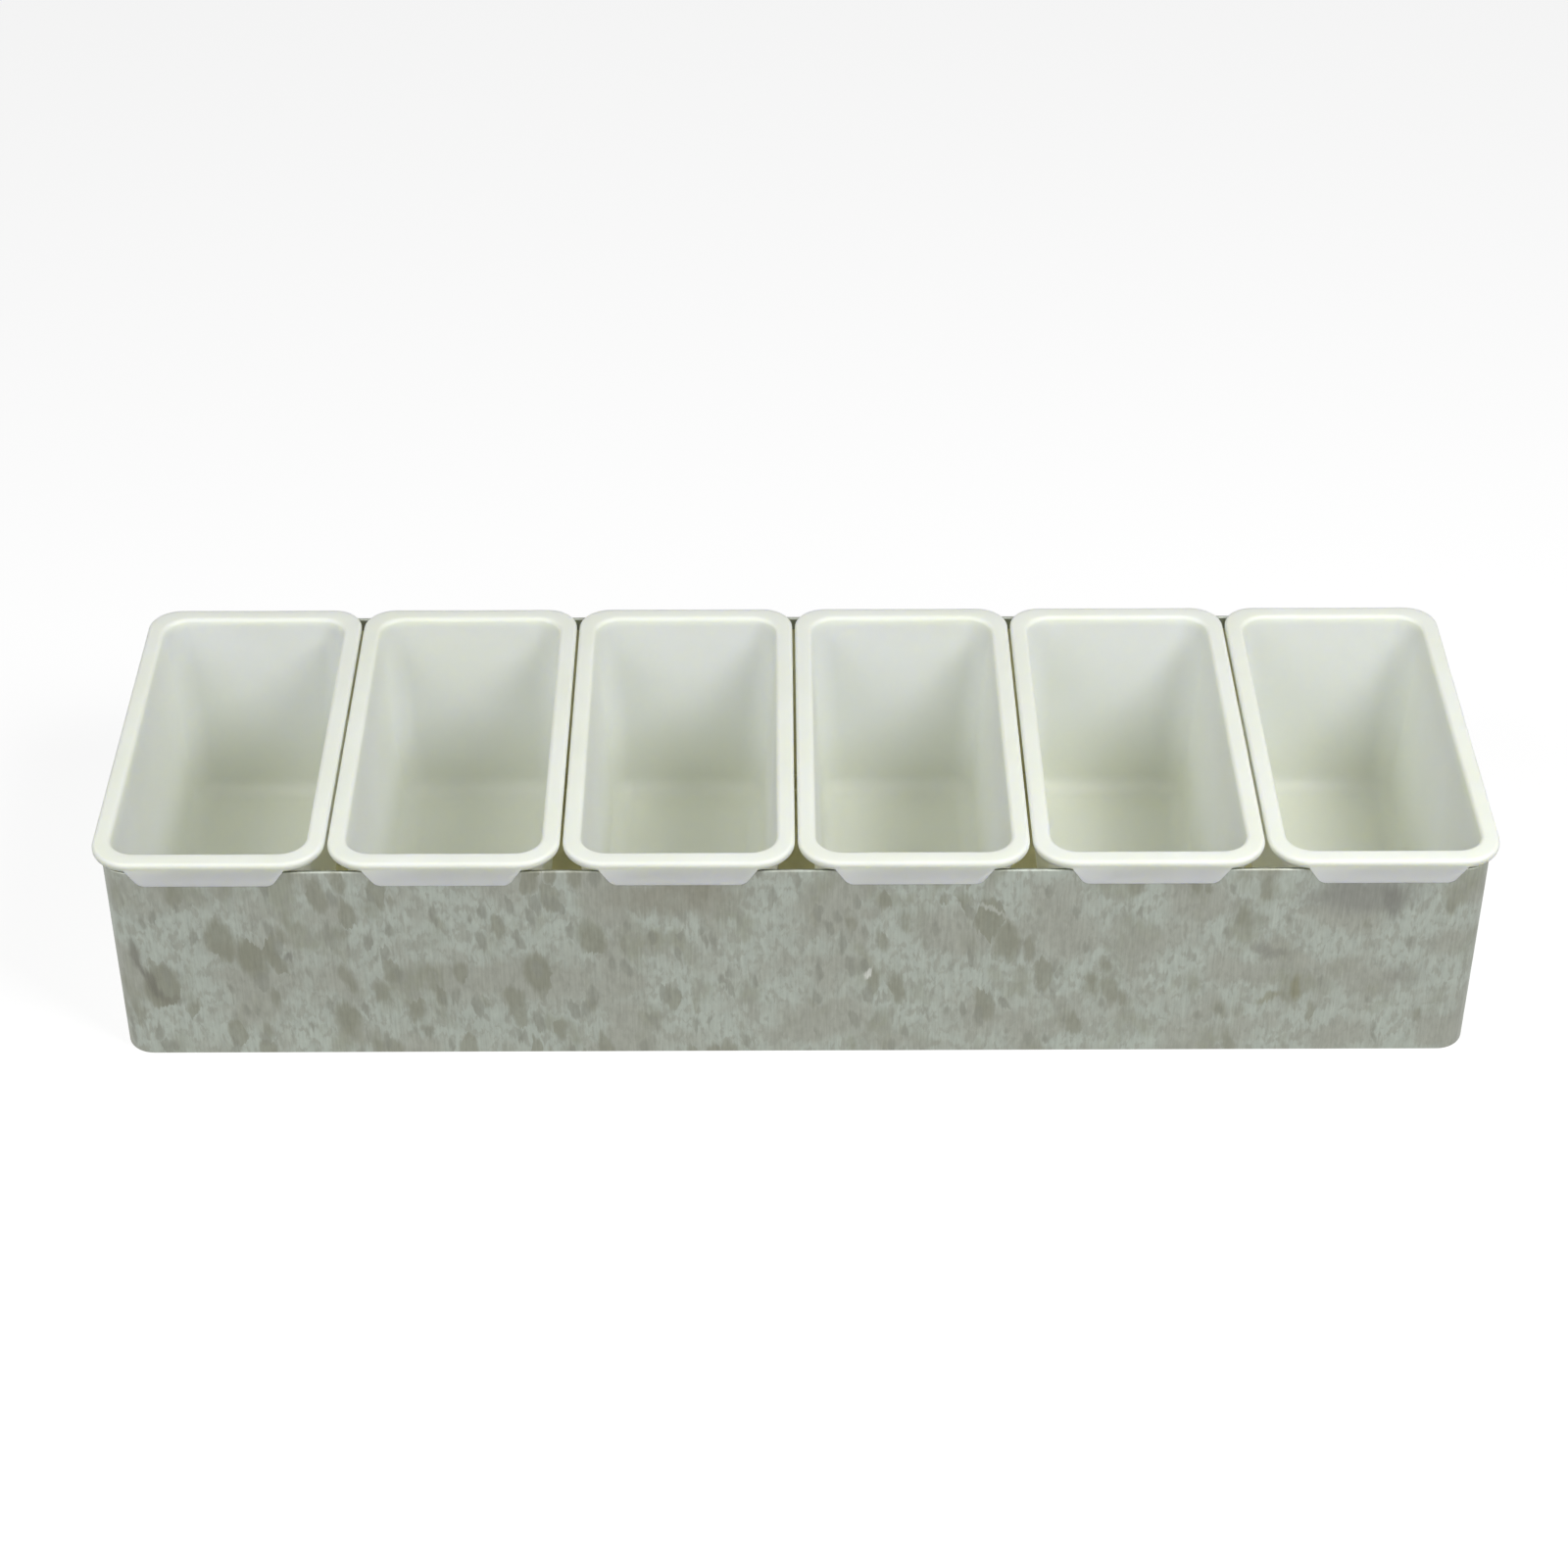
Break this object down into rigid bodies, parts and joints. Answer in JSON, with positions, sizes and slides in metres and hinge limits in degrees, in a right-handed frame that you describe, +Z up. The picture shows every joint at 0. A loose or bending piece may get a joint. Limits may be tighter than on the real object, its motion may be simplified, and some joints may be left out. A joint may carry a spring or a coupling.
{
  "type": "condiment organizer",
  "caption": "Open countertop condiment organizer: a long stainless-steel trough with hemmed edges that holds lift-out plastic inserts side by side, each with a rim and a front tab.",
  "frame": {"origin": "middle of the underside, on the surface that the organizer stands on", "axes": "+X along the trough to the right, +Y to the back, +Z up; the inserts' tabs face -Y"},
  "size_m": [0.4766, 0.1543, 0.0858],
  "materials": {
    "stainless_sheet": "satin brushed sheet, mottled by use",
    "insert_plastic": "moulded off-white, satin and slightly translucent"
  },
  "bodies": {
    "trough": {"wall_band": "stainless_sheet", "base_pan": "stainless_sheet"},
    "insert_1": {"insert_1": "insert_plastic"},
    "insert_2": {"insert_2": "insert_plastic"},
    "insert_3": {"insert_3": "insert_plastic"},
    "insert_4": {"insert_4": "insert_plastic"},
    "insert_5": {"insert_5": "insert_plastic"},
    "insert_6": {"insert_6": "insert_plastic"}
  },
  "joints": [
    {"name": "insert_1_lift", "type": "slide", "parent": "trough", "child": "insert_1", "axis": [0, 0, 1], "range_m": [0, 0.09]},
    {"name": "insert_2_lift", "type": "slide", "parent": "trough", "child": "insert_2", "axis": [0, 0, 1], "range_m": [0, 0.09]},
    {"name": "insert_3_lift", "type": "slide", "parent": "trough", "child": "insert_3", "axis": [0, 0, 1], "range_m": [0, 0.09]},
    {"name": "insert_4_lift", "type": "slide", "parent": "trough", "child": "insert_4", "axis": [0, 0, 1], "range_m": [0, 0.09]},
    {"name": "insert_5_lift", "type": "slide", "parent": "trough", "child": "insert_5", "axis": [0, 0, 1], "range_m": [0, 0.09]},
    {"name": "insert_6_lift", "type": "slide", "parent": "trough", "child": "insert_6", "axis": [0, 0, 1], "range_m": [0, 0.09]}
  ]
}
